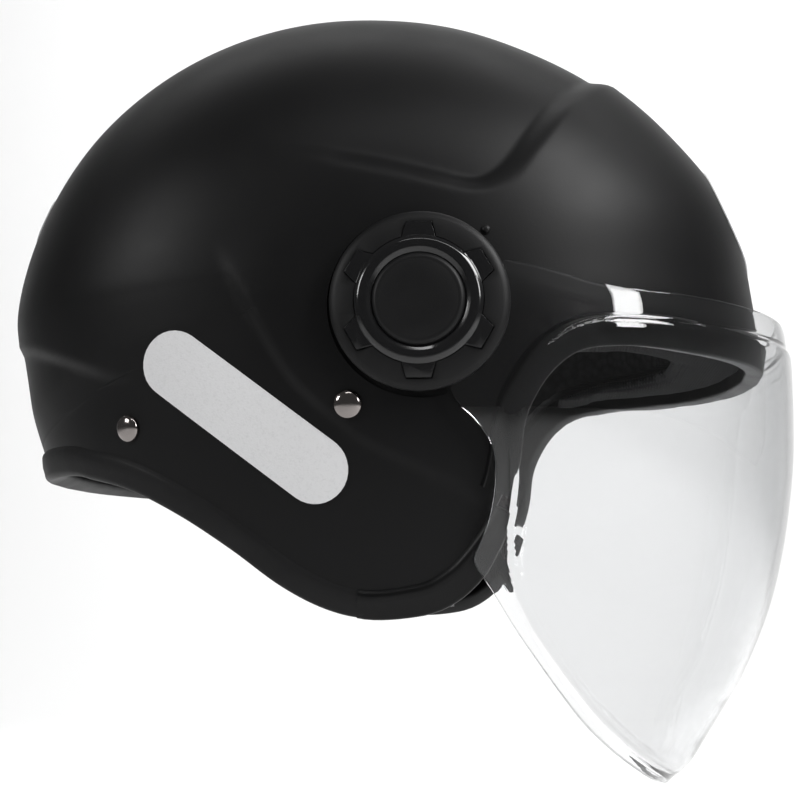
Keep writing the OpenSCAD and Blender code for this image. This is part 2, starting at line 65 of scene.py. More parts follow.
PROFILE = [(0, 130), (15, 127), (30, 119.5), (45, 113.8), (60, 109.5), (75, 108), (90, 108),
           (105, 110.4), (120, 114.2), (135, 119.2), (150, 125), (165, 130.5), (180, 136),
           (186, 136.2), (195, 136.2), (210, 139), (240, 160), (270, 185), (300, 180),
           (330, 155), (345, 138)]
RIM = [(-160, -52), (-107, -52), (-90, -55), (-73, -60), (-54, -69.5), (-36, -81), (-20, -92.5),
       (-7, -99), (4, -101), (18.5, -99), (25, -96), (31, -91), (38, -82), (44, -72), (47, -62),
       (49, -48), (54, -37), (61, -28.5), (70, -23), (84, -21), (97, -21), (110, -21.5),
       (160, -22.5)]


# ---- curves
def spline(points, per=12, closed=False):
    """Catmull-Rom curve through the points, per steps to each stretch."""
    p = np.array(points, float)
    n = len(p)
    out = []
    for i in range(n if closed else n - 1):
        if closed:
            a, b, c, d = p[i - 1], p[i], p[(i + 1) % n], p[(i + 2) % n]
        else:
            a, b, c, d = p[max(i - 1, 0)], p[i], p[i + 1], p[min(i + 2, n - 1)]
        for k in range(per):
            t = k / per
            out.append(0.5 * (2 * b + (c - a) * t + (2 * a - 5 * b + 4 * c - d) * t * t
                              + (3 * b - a - 3 * c + d) * t ** 3))
    if not closed:
        out.append(p[-1])
    return np.array(out)


def ease(t):
    t = np.clip(t, 0.0, 1.0)
    return t * t * (3 - 2 * t)


def even(path, step):
    """The path again, with stops an even step apart."""
    path = np.array(path, float)
    gaps = np.linalg.norm(np.diff(path, axis=0), axis=1)
    run = np.concatenate([[0], np.cumsum(gaps)])
    n = max(2, int(round(run[-1] / step)) + 1)
    at = np.linspace(0, run[-1], n)
    return np.stack([np.interp(at, run, path[:, k]) for k in range(path.shape[1])], axis=1)


def line_distance(x, z, path):
    """Signed distance to a side-view path (positive on its left), and how far along it is (0 to 1)."""
    x, z = np.asarray(x, float), np.asarray(z, float)
    best = np.full(x.shape, 1e9)
    side = np.ones(x.shape)
    along = np.zeros(x.shape)
    seg = np.linalg.norm(np.diff(path, axis=0), axis=1)
    run = np.concatenate([[0], np.cumsum(seg)])
    for i in range(len(path) - 1):
        ax, az = path[i]
        dx, dz = path[i + 1] - path[i]
        t = np.clip(((x - ax) * dx + (z - az) * dz) / max(dx * dx + dz * dz, 1e-9), 0, 1)
        ex, ez = x - ax - t * dx, z - az - t * dz
        d = np.hypot(ex, ez)
        near = d < best
        best = np.where(near, d, best)
        side = np.where(near, np.sign(dx * (z - az) - dz * (x - ax)), side)
        along = np.where(near, (run[i] + t * seg[i]) / run[-1], along)
    return best * side, along


# ---- the skin of the shell
_wrapped = [(a - 360, r) for a, r in PROFILE[-2:]] + PROFILE + [(a + 360, r) for a, r in PROFILE[:3]]
_fine = spline(_wrapped, 16)
CREASE = spline([(-62, 44), (-17, 39.3), (-5.6, 36.7), (9.8, 33.4), (25, 29.6), (34.3, 27.6), (40.5, 29),
                 (46.7, 34.7), (54, 46.3), (63.6, 61.9), (74.3, 76), (88, 96), (112, 132)], 10)
SWOOSH = spline([(-45.7, 10), (-40.3, -1.8), (-30.3, -19.4), (-19.4, -36), (-5.4, -48.5), (4.5, -55.4),
                 (29.5, -67), (40.8, -77.4)], 8)
LEDGE = spline([(-140, -12), (-132, -14), (-112.7, -20.3), (-93.8, -27.2), (-79.6, -31.9), (-61, -35.4)], 8)


def skin_r(deg):
    return np.interp(np.mod(deg, 360.0), _fine[:, 0], _fine[:, 1])


def rise(x, z):
    """How far the band, the swoosh and the rear ledge stand off the plain skin."""
    crease = np.interp(x, CREASE[:, 0], CREASE[:, 1])
    slope = np.interp(x, CREASE[:, 0], np.gradient(CREASE[:, 1], CREASE[:, 0]))
    off = (crease - z) / np.sqrt(1 + slope * slope)
    band = BAND_RISE * ease((off + 1.5) / 7.5) ** 0.8 * ease((x + 45) / 80)
    d, along = line_distance(x, z, SWOOSH)
    size = 1.7 * ease(along / 0.22) * (1 - 0.62 * ease((along - 0.4) / 0.2)) * ease((1 - along) / 0.1)
    swoosh = size * ease((d + 2.2) / 4.4) * ease((30 - d) / 26)
    low = np.interp(x, LEDGE[:, 0], LEDGE[:, 1]) - z
    tuck = 1.5 * ease((low + 1.5) / 5) * (1 - 0.6 * ease((low - 6) / 26)) * ease((-66 - x) / 34)
    return band + swoosh - tuck


def half_width(x):
    return SHELL_HALF_W * (1 - 0.05 * x / 130)


def skin(theta, beta, side, deep=0.0):
    """Skin point: theta turns about the Y axis, beta goes from 0 at the side to 90 on the middle plane."""
    rho = np.sin(beta) ** (2 / SQUARE)
    r = skin_r(np.degrees(theta)) * rho
    x, z = r * np.cos(theta), r * np.sin(theta)
    y = side * half_width(x) * np.cos(beta) ** (2 / SQUARE)
    length = np.sqrt(x * x + y * y + z * z)
    k = (length + rise(x, z) - deep) / length
    return np.stack([x * k, y * k, z * k], axis=-1)


def skin_y(x, z):
    """How far from the middle plane the skin stands at a place in side view."""
    x, z = np.asarray(x, float), np.asarray(z, float)
    rho = np.hypot(x, z) / skin_r(np.degrees(np.arctan2(z, x)))
    return half_width(x) * np.maximum(0.0, 1 - rho ** SQUARE) ** (1 / SQUARE) + rise(x, z)


def skin_spot(x, z, side, out=0.0):
    """Skin points seen from the side, and the outward normals there."""
    e = 1.0
    x, z = np.asarray(x, float), np.asarray(z, float)
    n = np.stack([skin_y(x - e, z) - skin_y(x + e, z), np.full(x.shape, 2 * e * side),
                  skin_y(x, z - e) - skin_y(x, z + e)], axis=-1)
    n /= np.linalg.norm(n, axis=-1, keepdims=True)
    return np.stack([x, side * skin_y(x, z), z], axis=-1) + n * out, n


def on_skin(x, z, side, out=0.0):
    """Matrix that stands a piece's Z straight out of the skin, in metres."""
    place, n = (Vector(v) for v in skin_spot(x, z, side, out))
    across = Vector((0, 0, 1)).cross(n).normalized()
    up = n.cross(across)
    m = Matrix((across, up, n)).transposed().to_4x4()
    return Matrix.Translation(place * MM) @ m


def on_pivot(side, y):
    turn = Matrix.Rotation(math.radians(-90 * side), 4, "X")
    return Matrix.Translation(Vector((PIVOT[0], side * y, PIVOT[1])) * MM) @ turn


# ---- mesh helpers
def put(name, verts, faces, body="helmet", slot=None, material=None, smooth=40, weld=0.0, scale=MM):
    """Makes an object from points in millimetres, with its faces outwards."""
    mesh = bpy.data.meshes.new(name)
    mesh.from_pydata([tuple(float(c) * scale for c in v) for v in verts], [], [tuple(f) for f in faces])
    bm = bmesh.new()
    bm.from_mesh(mesh)
    if weld:
        bmesh.ops.remove_doubles(bm, verts=bm.verts, dist=weld * MM)
    bmesh.ops.recalc_face_normals(bm, faces=bm.faces)
    bm.to_mesh(mesh)
    bm.free()
    obj = bpy.data.objects.new(name, mesh)
    bpy.context.scene.collection.objects.link(obj)
    soften(obj, smooth)
    dress(obj, body, material)
    return obj


def dress(obj, body, material):
    if body:
        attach(obj, body)
    if material:
        obj.data.materials.clear()
        obj.data.materials.append(material)


def soften(obj, angle):
    """Smooth shading, with edges sharper than the angle kept."""
    mesh = obj.data
    mesh.polygons.foreach_set("use_smooth", [True] * len(mesh.polygons))
    mesh.set_sharp_from_angle(angle=math.radians(angle))
    mesh.update()


def settle(obj):
    """Applies every modifier of the object."""
    dg = bpy.context.evaluated_depsgraph_get()
    mesh = bpy.data.meshes.new_from_object(obj.evaluated_get(dg))
    old = obj.data
    obj.modifiers.clear()
    obj.data = mesh
    bpy.data.meshes.remove(old)


def grid_faces(rows, cols, start=0, closed_cols=False, closed_rows=False):
    out = []
    for r in range(rows if closed_rows else rows - 1):
        for c in range(cols if closed_cols else cols - 1):
            r2, c2 = (r + 1) % rows, (c + 1) % cols
            near, far = start + r * cols, start + r2 * cols
            out.append((near + c, near + c2, far + c2, far + c))
    return out


def tube(name, rings, closed=False, **look):
    """A solid through rings of points: each ring is a closed outline of the same count."""
    rings = np.array(rings, float)
    n, m = rings.shape[:2]
    faces = grid_faces(n, m, closed_cols=True, closed_rows=closed)
    if not closed:
        faces += [tuple(range(m)), tuple(range((n - 1) * m, n * m))]
    return put(name, rings.reshape(-1, 3), faces, **look)


def lathe_points(profile, steps):
    """A profile of (radius, height) turned about Z."""
    turn = np.linspace(0, 2 * math.pi, steps, endpoint=False)
    return np.array([[(r * math.cos(a), r * math.sin(a), h) for a in turn] for r, h in profile])


def lathe(name, profile, matrix, steps=96, closed=False, **look):
    """Turned piece; the profile runs from the axis or bore outwards and back, in millimetres."""
    obj = tube(name, lathe_points(profile, steps), closed=closed, **look)
    obj.data.transform(matrix)
    obj.data.update()
    return obj


def arc(cx, cy, r, start, stop, n=6, ry=None):
    ry = r if ry is None else ry
    return [(cx + r * math.cos(math.radians(start + (stop - start) * k / n)),
             cy + ry * math.sin(math.radians(start + (stop - start) * k / n))) for k in range(n + 1)]


def circle(r, n=96):
    return [(r * math.cos(a), r * math.sin(a)) for a in np.linspace(0, 2 * math.pi, n, endpoint=False)]


def carve(obj, tools):
    """Cuts the tools out of a closed object."""
    for t in tools:
        m = obj.modifiers.new("cut", "BOOLEAN")
        m.operation = "DIFFERENCE"
        m.object = t
        m.solver = "MANIFOLD"
    settle(obj)
    for t in tools:
        bpy.data.objects.remove(t, do_unlink=True)


def refined(node, body, material, bevel=0.3, segments=2, cuts=False):
    """A finished copy of a hard CAD piece, with its edges rounded."""
    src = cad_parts[node]
    mesh = src.data.copy()
    mesh.name = node + "_finish"
    bm = bmesh.new()
    bm.from_mesh(mesh)
    bmesh.ops.remove_doubles(bm, verts=bm.verts, dist=0.002 * MM)
    bmesh.ops.dissolve_limit(bm, angle_limit=math.radians(1.2), verts=bm.verts, edges=bm.edges)
    bm.to_mesh(mesh)
    bm.free()
    obj = bpy.data.objects.new(node + "_finish", mesh)
    bpy.context.scene.collection.objects.link(obj)
    m = obj.modifiers.new("round", "BEVEL")
    m.width = bevel * MM
    m.segments = segments
    m.limit_method = "ANGLE"
    m.angle_limit = math.radians(35)
    m.use_clamp_overlap = True
    settle(obj)
    if cuts:
        slice_across(obj)
    soften(obj, 40)
    dress(obj, body, material)
    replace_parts(obj, node)
    return obj


def slice_across(obj, step=2.5):
    """Cuts a piece into strips across Y, so it can bend."""
    bm = bmesh.new()
    bm.from_mesh(obj.data)
    reach = max(abs(v.co.y) for v in bm.verts) / MM
    y = -step * math.floor(reach / step)
    while y < reach:
        geom = bm.verts[:] + bm.edges[:] + bm.faces[:]
        bmesh.ops.bisect_plane(bm, geom=geom, plane_co=(0, (y + 0.013) * MM, 0), plane_no=(0, 1, 0))
        y += step
    bm.to_mesh(obj.data)
    bm.free()


# ---- materials
class Paint:
    """Builds one procedural material step by step."""

    def __init__(self, name, color, rough, **sockets):
        self.mat = bpy.data.materials.new(name)
        self.mat.use_nodes = True
        self.tree = self.mat.node_tree
        self.bsdf = self.tree.nodes["Principled BSDF"]
        self.bsdf.inputs["Base Color"].default_value = (*color, 1)
        self.bsdf.inputs["Roughness"].default_value = rough
        for key, value in sockets.items():
            self.bsdf.inputs[key.replace("_", " ")].default_value = value
        self.coords = self.add("ShaderNodeTexCoord")
        self.height = None
        self.color = color
        self.rough = rough

    def add(self, kind, **props):
        node = self.tree.nodes.new(kind)
        for key, value in props.items():
            setattr(node, key, value)
        return node

    def link(self, a, b):
        self.tree.links.new(a, b)

    def noise(self, scale, detail=3.0, rough=0.55):
        node = self.add("ShaderNodeTexNoise")
        node.inputs["Scale"].default_value = scale
        node.inputs["Detail"].default_value = detail
        node.inputs["Roughness"].default_value = rough
        self.link(self.coords.outputs["Object"], node.inputs["Vector"])
        return node.outputs["Fac"]

    def cells(self, scale, feature="F1"):
        node = self.add("ShaderNodeTexVoronoi", feature=feature)
        node.inputs["Scale"].default_value = scale
        self.link(self.coords.outputs["Object"], node.inputs["Vector"])
        return node.outputs["Distance"]

    def waves(self, scale, axis, profile="SIN", bend=0.0):
        node = self.add("ShaderNodeTexWave", wave_type="BANDS", bands_direction=axis, wave_profile=profile)
        node.inputs["Scale"].default_value = scale
        node.inputs["Distortion"].default_value = bend
        self.link(self.coords.outputs["Object"], node.inputs["Vector"])
        return node.outputs["Fac"]

    def maths(self, how, a, b):
        node = self.add("ShaderNodeMath", operation=how)
        for socket, value in zip(node.inputs, (a, b)):
            if isinstance(value, (int, float)):
                socket.default_value = value
            else:
                self.link(value, socket)
        return node.outputs[0]

    def spread(self, source, low, high):
        node = self.add("ShaderNodeMapRange")
        node.inputs["From Min"].default_value = 0.25
        node.inputs["From Max"].default_value = 0.75
        node.inputs["To Min"].default_value = low
        node.inputs["To Max"].default_value = high
        self.link(source, node.inputs["Value"])
        return node.outputs["Result"]

    def vary_rough(self, source, low, high):
        self.link(self.spread(source, low, high), self.bsdf.inputs["Roughness"])
        return self

    def vary_color(self, source, low, high):
        node = self.add("ShaderNodeMix", data_type="RGBA")
        node.inputs[6].default_value = (*low, 1)
        node.inputs[7].default_value = (*high, 1)
        self.link(source, node.inputs[0])
        self.link(node.outputs[2], self.bsdf.inputs["Base Color"])
        return self

    def bump(self, source, strength, distance):
        node = self.add("ShaderNodeBump")
        node.inputs["Strength"].default_value = strength
        node.inputs["Distance"].default_value = distance
        self.link(source, node.inputs["Height"])
        if self.height is not None:
            self.link(self.height, node.inputs["Normal"])
        self.height = node.outputs["Normal"]
        self.link(self.height, self.bsdf.inputs["Normal"])
        return self


def shell_paint():
    p = Paint("shell_paint", (0.0045, 0.0045, 0.0048), 0.46, Specular_IOR_Level=0.17)
    p.vary_rough(p.noise(38, 5), 0.41, 0.48)
    p.vary_color(p.noise(9, 4), (0.004, 0.004, 0.0042), (0.0055, 0.0055, 0.0058))
    p.bump(p.noise(1500, 2), 0.1, 0.0002)
    return p.mat


def moulded(name, color, rough, grain=2600, strength=0.18):
    p = Paint(name, color, rough, Specular_IOR_Level=0.25)
    p.vary_rough(p.noise(55, 4), rough - 0.05, rough + 0.07)
    p.bump(p.noise(grain, 2), strength, 0.0002)
    return p.mat


def gloss_black():
    p = Paint("gloss_black", (0.006, 0.006, 0.0065), 0.13, Coat_Weight=0.4, Coat_Roughness=0.06)
    p.vary_rough(p.noise(70, 5), 0.09, 0.2)
    p.bump(p.noise(900, 2), 0.04, 0.0001)
    return p.mat


def rubber(name, color, rough):
    p = Paint(name, color, rough, Specular_IOR_Level=0.2)
    p.vary_rough(p.noise(60, 4), rough - 0.07, rough + 0.08)
    p.bump(p.cells(1500), 0.12, 0.0002)
    p.bump(p.noise(420, 3), 0.1, 0.0003)
    return p.mat


def knit(name, low, high, pitch, sheen=0.06):
    """Knitted cover cloth: small loops in rows, a soft pile and slow shade changes."""
    p = Paint(name, high, 0.92, Sheen_Weight=sheen, Sheen_Roughness=0.4, Specular_IOR_Level=0.1)
    loops = p.maths("MULTIPLY", p.waves(pitch, "X", bend=0.6), p.waves(pitch * 0.8, "Z", bend=0.6))
    p.vary_color(p.maths("MULTIPLY_ADD", p.noise(240, 4), 0.7), low, high)
    p.bump(loops, 0.5, 0.0006)
    p.bump(p.noise(1800, 3), 0.35, 0.0004)
    return p.mat


def air_mesh():
    """Open spacer knit with round holes in a close pattern."""
    p = Paint("air_mesh", (0.01, 0.01, 0.011), 0.85, Sheen_Weight=0.05, Specular_IOR_Level=0.12)
    holes = p.cells(330)
    p.vary_color(p.spread(holes, 0.1, 1.0), (0.003, 0.003, 0.003), (0.015, 0.015, 0.016))
    p.bump(holes, 0.7, 0.001)
    p.bump(p.noise(1600, 2), 0.2, 0.0003)
    return p.mat


def webbing():
    """Plain woven nylon strap: ribs across and yarns along."""
    p = Paint("webbing", (0.01, 0.01, 0.011), 0.68, Sheen_Weight=0.08, Specular_IOR_Level=0.2)
    weave = p.maths("MULTIPLY", p.waves(420, "Y"), p.waves(520, "X"))
    p.vary_color(p.noise(300, 3), (0.008, 0.008, 0.009), (0.02, 0.02, 0.021))
    p.bump(weave, 0.7, 0.0007)
    return p.mat


def bead_foam():
    p = Paint("bead_foam", (0.01, 0.01, 0.01), 0.8, Specular_IOR_Level=0.15)
    beads = p.cells(300)
    p.vary_color(p.spread(beads, 0.0, 1.0), (0.012, 0.012, 0.0125), (0.005, 0.005, 0.005))
    p.bump(beads, 0.5, 0.0012)
    return p.mat


def reflective(name, low, high):
    """Granular retro-reflective film with dark grains."""
    p = Paint(name, (high, high, high), 0.5, Specular_IOR_Level=0.5)
    p.vary_color(p.maths("MULTIPLY_ADD", p.noise(900, 4, 0.8), 1.0),
                 (low, low, low), (high, high, high * 1.01))
    p.bump(p.cells(1500), 0.15, 0.0002)
    return p.mat


def metal(name, color, rough, fine=0.04):
    p = Paint(name, color, rough, Metallic=1.0)
    p.vary_rough(p.noise(120, 5), max(0.02, rough - fine), rough + fine)
    p.bump(p.noise(700, 2), 0.03, 0.0001)
    return p.mat


def clear_sheet():
    """Hard-coated clear polycarbonate, with a little haze."""
    p = Paint("clear_visor", (1.0, 1.0, 1.0), 0.0, Transmission_Weight=1.0, IOR=1.5)
    p.vary_rough(p.noise(16, 4), 0.0, 0.012)
    haze = p.add("ShaderNodeVolumeAbsorption")
    haze.inputs["Color"].default_value = (0.88, 0.885, 0.89, 1)
    haze.inputs["Density"].default_value = 420.0
    p.link(haze.outputs["Volume"], p.tree.nodes["Material Output"].inputs["Volume"])
    return p.mat


def red_lever():
    p = Paint("red_lever", (0.32, 0.012, 0.01), 0.36)
    p.vary_rough(p.noise(80, 4), 0.3, 0.44)
    p.bump(p.noise(1200, 2), 0.08, 0.0002)
    return p.mat


MAT = {
    "shell": shell_paint(),
    "matte": moulded("matte_black", (0.0055, 0.0055, 0.0058), 0.45),
    "black": moulded("black_plastic", (0.006, 0.006, 0.0064), 0.42),
    "gloss": gloss_black(),
    "edge": rubber("edge_rubber", (0.0035, 0.0035, 0.0037), 0.38),
    "trim": rubber("trim_vinyl", (0.007, 0.007, 0.0073), 0.55),
    "mesh": air_mesh(),
    "knit": knit("lining_knit", (0.004, 0.004, 0.0044), (0.012, 0.012, 0.013), 300),
    "wine": knit("cheek_knit", (0.005, 0.0035, 0.004), (0.015, 0.008, 0.01), 300),
    "webbing": webbing(),
    "foam": bead_foam(),
    "reflective": reflective("reflective", 0.4, 0.76),
    "pale_film": reflective("reflective_pale", 0.84, 0.95),
    "steel": metal("zinc_steel", (0.55, 0.55, 0.57), 0.3, 0.08),
    "chrome": metal("mirror_chrome", (0.3, 0.275, 0.265), 0.12, 0.05),
    "clear": clear_sheet(),
    "red": red_lever(),
    "grid": moulded("vent_grid", (0.012, 0.012, 0.012), 0.6),
}


# ---- domed pieces cut in side view
def polar(outline):
    """Angle and radius of a side-view outline, as growing angles from the rear round below to the front."""
    angle = np.degrees(np.unwrap(np.arctan2(outline[:, 1], outline[:, 0])))
    angle = angle + (360 if angle[0] < 0 else 0)
    return angle, np.hypot(outline[:, 0], outline[:, 1])


def reach_of(theta, beta, deep):
    p = skin(theta, beta, 1, deep)
    return np.hypot(p[..., 0], p[..., 2])


def rim_betas(theta, limit, deep):
    """Where the skin reaches the cut, by halving."""
    low, high = np.full(theta.shape, 1e-4), np.full(theta.shape, math.pi / 2 - 0.012)
    for _ in range(24):
        mid = (low + high) / 2
        short = reach_of(theta, mid, deep) < limit
        low, high = np.where(short, mid, low), np.where(short, high, mid)
    return (low + high) / 2


def close_gaps(obj):
    """Fills the hairline gaps that welding leaves along a rim."""
    bm = bmesh.new()
    bm.from_mesh(obj.data)
    bmesh.ops.holes_fill(bm, edges=[e for e in bm.edges if e.is_boundary], sides=0)
    bmesh.ops.recalc_face_normals(bm, faces=bm.faces)
    bm.to_mesh(obj.data)
    bm.free()
    return obj


class Dome:
    """The part of the skin above an outline, with its edge points in order round the rim."""

    def __init__(self, outline, step, deg_step):
        path = even(spline(outline, 10), step)
        angle, radius = polar(path)
        self.angle, self.radius = angle, radius
        edge = radius - skin_r(angle) - rise(np.cos(np.radians(angle)) * radius,
                                             np.sin(np.radians(angle)) * radius)
        inside = np.where(edge < 0)[0]
        first, last = inside[0], inside[-1]
        self.start = self.cross(angle[first - 1], angle[first])
        self.stop = self.cross(angle[last + 1], angle[last])
        cut = [self.start] + [a for a in angle[first:last + 1]
                              if self.start + 0.05 < a < self.stop - 0.05] + [self.stop]
        free = np.arange(self.stop + deg_step, self.start + 360 - deg_step * 0.5, deg_step)
        self.thetas = np.radians(np.array(cut + list(free)))
        self.cut = len(cut)

    def limit(self, deg):
        return float(np.interp(deg, self.angle, self.radius))

    def cross(self, out_deg, in_deg):
        """Angle at which the outline leaves the silhouette."""
        for _ in range(30):
            mid = (out_deg + in_deg) / 2
            r = self.limit(mid)
            if r < float(reach_of(np.float64(math.radians(mid)), np.float64(math.pi / 2), 0.0)):
                in_deg = mid
            else:
                out_deg = mid
        return (out_deg + in_deg) / 2

    def betas(self, deep):
        out = np.full(len(self.thetas), math.pi / 2)
        t = self.thetas[1:self.cut - 1]
        out[1:self.cut - 1] = rim_betas(t, np.interp(np.degrees(t), self.angle, self.radius), deep)
        return out

    def layer(self, deep, levels, bulge=None):
        """Points of one face: for each side, [theta][level], level 0 is the pole."""
        top = self.betas(deep)
        sides = []
        for side in (RIGHT, LEFT):
            beta = top[:, None] * np.linspace(0, 1, levels + 1)[None, :]
            beta = np.maximum(beta, 1e-5)
            theta = np.repeat(self.thetas[:, None], levels + 1, axis=1)
            pts = skin(theta, beta, side, deep)
            pts[self.cut - 1:, -1, 1] = 0.0
            pts[0, -1, 1] = 0.0
            if bulge is not None:
                pts = bulge(pts, side)
            sides.append(pts)
        return sides

    def solid(self, name, outer, inner, levels, bulge=None, **look):
        """Closed wall between two depths."""
        verts, faces = [], []
        starts = []
        for deep, shape in ((outer, None), (inner, bulge)):
            for pts in self.layer(deep, levels, shape):
                starts.append(len(verts))
                n, m = pts.shape[:2]
                verts.extend(pts.reshape(-1, 3))
                faces.extend(grid_faces(n, m, starts[-1], closed_rows=True))
        cols = levels + 1
        for k in range(self.cut - 1):
            for s in range(2):
                a, b = starts[s] + k * cols + levels, starts[s] + (k + 1) * cols + levels
                c, d = starts[s + 2] + (k + 1) * cols + levels, starts[s + 2] + k * cols + levels
                faces.append((a, b, c, d))
        return close_gaps(put(name, verts, faces, weld=0.004, **look))

    def rim(self, side, deep=0.0):
        """Edge points from rear to front on one side, with outward normals and away directions."""
        top = self.betas(deep)[:self.cut]
        th = self.thetas[:self.cut]
        edge = skin(th, top, side, deep)
        if side:
            edge[0, 1] = edge[-1, 1] = 0.0
        back = skin(th, top - 0.02, side, deep)
        up = skin(th, top, side, deep - 1.0) - edge
        up /= np.linalg.norm(up, axis=1)[:, None]
        run = np.gradient(edge, axis=0)
        run /= np.linalg.norm(run, axis=1)[:, None]
        out = np.cross(run, up)
        out /= np.linalg.norm(out, axis=1)[:, None]
        flip = np.sign(np.sum(out * (edge - back), axis=1))
        out *= flip[:, None]
        normal = np.cross(out, run)
        normal *= np.sign(np.sum(normal * up, axis=1))[:, None]
        normal /= np.linalg.norm(normal, axis=1)[:, None]
        return edge, normal, out


shell_dome = Dome(RIM, 2.0, 0.8)


def rounded_plan(hx, hy, r, n=6):
    out = []
    for cx, cy, a in ((hx - r, hy - r, 0), (r - hx, hy - r, 90), (r - hx, r - hy, 180),
                      (hx - r, r - hy, 270)):
        out += arc(cx, cy, r, a, a + 90, n)
    return out


def vent_matrix(out=0.0):
    """The vent's own frame: local X runs down the forehead, Y to the left, Z out of the shell."""
    a, b = math.radians(VENT_ANGLE), math.radians(VENT_ANGLE + VENT_LEAN)
    r = float(skin_r(VENT_ANGLE)) + BAND_RISE
    z_dir = Vector((math.cos(b), 0, math.sin(b)))
    x_dir = Vector((math.sin(b), 0, -math.cos(b)))
    m = Matrix((x_dir, Vector((0, 1, 0)), z_dir)).transposed().to_4x4()
    return Matrix.Translation((Vector((math.cos(a), 0, math.sin(a))) * r + z_dir * out) * MM) @ m


def prism_cutter(name, plan, low, high, matrix):
    n = len(plan)
    verts = [(x, y, low) for x, y in plan] + [(x, y, high) for x, y in plan]
    faces = [tuple(range(n)), tuple(range(n, 2 * n))]
    faces += [(k, (k + 1) % n, n + (k + 1) % n, n + k) for k in range(n)]
    obj = put(name, verts, faces, body=None)
    obj.data.transform(matrix)
    return obj


def make_shell():
    shell = shell_dome.solid("shell_outer", 0.0, SHELL_WALL, 110, slot="shell_paint",
                             material=MAT["shell"], smooth=55)
    tools = [prism_cutter("cut_vent", rounded_plan(13.3, 20.3, 5), -12, 8, vent_matrix())]
    for side in (RIGHT, LEFT):
        tools.append(prism_cutter("cut_pivot", circle(29.0), 0, 12, on_pivot(side, EAR_Y - 3)))
    carve(shell, tools)
    soften(shell, 50)
    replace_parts(shell, "shell")
    return shell


make_shell()


# ---- rim trims
def rim_loop():
    """The whole rim as one closed ring: rear centre, right side, front centre, left side."""
    parts = []
    for side, order in ((RIGHT, 1), (LEFT, -1)):
        edge, normal, out = shell_dome.rim(side)
        if order < 0:
            edge, normal, out = edge[::-1][1:-1], normal[::-1][1:-1], out[::-1][1:-1]
        parts.append((edge, normal, out))
    ring = [np.concatenate([p[k] for p in parts]) for k in range(3)]
    ring[1][0] = ring[1][0] * (1, 0, 1)
    ring[2][0] = ring[2][0] * (1, 0, 1)
    return ring


EDGE, NORMAL, AWAY = rim_loop()


def sweep(name, keep, profile, **look):
    """Sweeps a closed profile of (outwards, away) along the kept stretch of the rim."""
    n = len(EDGE)
    flags = [keep(EDGE[k]) for k in range(n)]
    start = next(k for k in range(n) if flags[k] and not flags[k - 1])
    order = []
    k = start
    while flags[k % n] and len(order) < n:
        order.append(k % n)
        k += 1
    rings = []
    count = len(order)
    for i, k in enumerate(order):
        rings.append([EDGE[k] + NORMAL[k] * u + AWAY[k] * v for u, v in profile(EDGE[k], i / (count - 1))])
    return tube(name, rings, **look)


def soft_box(u0, u1, v0, v1, r=0.9, n=3):
    """Rounded rectangle between two outward and two away limits."""
    pts = []
    for cu, cv, a in ((u1 - r, v1 - r, 0), (u0 + r, v1 - r, 90), (u0 + r, v0 + r, 180),
                      (u1 - r, v0 + r, 270)):
        pts += arc(cu, cv, r, a, a + 90, n)
    return pts


def fade_ends(t, span=0.02, low=0.35):
    return low + (1 - low) * float(ease(min(t, 1 - t) / span))


# The groove of a trim that sits on the shell's edge
GROOVE = [(-SHELL_WALL - 1.2, -3.0), (-SHELL_WALL - 0.2, -3.4), (-SHELL_WALL - 0.2, -0.3), (-0.3, -0.3)]


def make_trims():
    face = sweep("face_edge_trim", lambda p: p[0] > 43.6 and p[2] > -73.5,
                 lambda p, t: soft_box(-SHELL_WALL - 1.5, 1.3, -7.2, 3.1, 1.1), slot="edge_rubber",
                 material=MAT["edge"])
    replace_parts(face, "face_trim")

    def rear_profile(p, t):
        deep = 10.4 * fade_ends(t, 0.004, 0.93)
        return (arc(0.5, deep - 2.4, 2.4, -20, 90, 6) + arc(-3.2, deep - 2.2, 2.2, 90, 200, 5)
                + [(-5.4, 1.0)] + GROOVE + [(0.1, 0.1), (0.9, 0.5), (1.5, 1.3), (2.0, 2.8), (2.5, 4.6)])
    rear = sweep("rear_rim_trim", lambda p: p[0] < 3.0, rear_profile, slot="trim_vinyl", material=MAT["trim"])
    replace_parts(rear, "rear_trim")

    def cheek_depth(p):
        return float(np.interp(p[0], [1, 8, 18, 26, 32, 38, 42, 46],
                               [10.3, 10.8, 11.4, 11.2, 10.2, 8.0, 5.6, 3.6]))

    def cheek_profile(p, t):
        deep = cheek_depth(p)
        grow = fade_ends(t, 0.02, 0.85)
        return (arc(1.6 * grow, deep - 1.6, 1.5, -30, 90, 5) + arc(-3.4, deep - 1.6, 1.5, 90, 200, 5)
                + [(-5.2, 0.8)] + GROOVE
                + [(0.9 * grow, -0.2), (1.9 * grow, 0.3), (2.5 * grow, 1.2), (2.9 * grow, 2.6)])
    for side, word in ((RIGHT, "right"), (LEFT, "left")):
        cheek = sweep("cheek_rim_trim_" + word,
                      lambda p, s=side: p[1] * s > 0 and -1.5 <= p[0] and p[2] < -73.5, cheek_profile,
                      slot="edge_rubber", material=MAT["edge"])
        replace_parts(cheek, "cheek_trim_" + word)


make_trims()


# ---- foam and linings
FOAM_RIM = [(-160, -44), (-100, -44), (-60, -40), (-30, -35), (30, -35), (45, -31), (58, -20), (80, -14),
            (160, -13)]
CLOTH_RIM = [(-160, -31), (-100, -28), (-60, -24), (0, -24), (40, -23), (52, -6), (70, 1), (160, 3)]


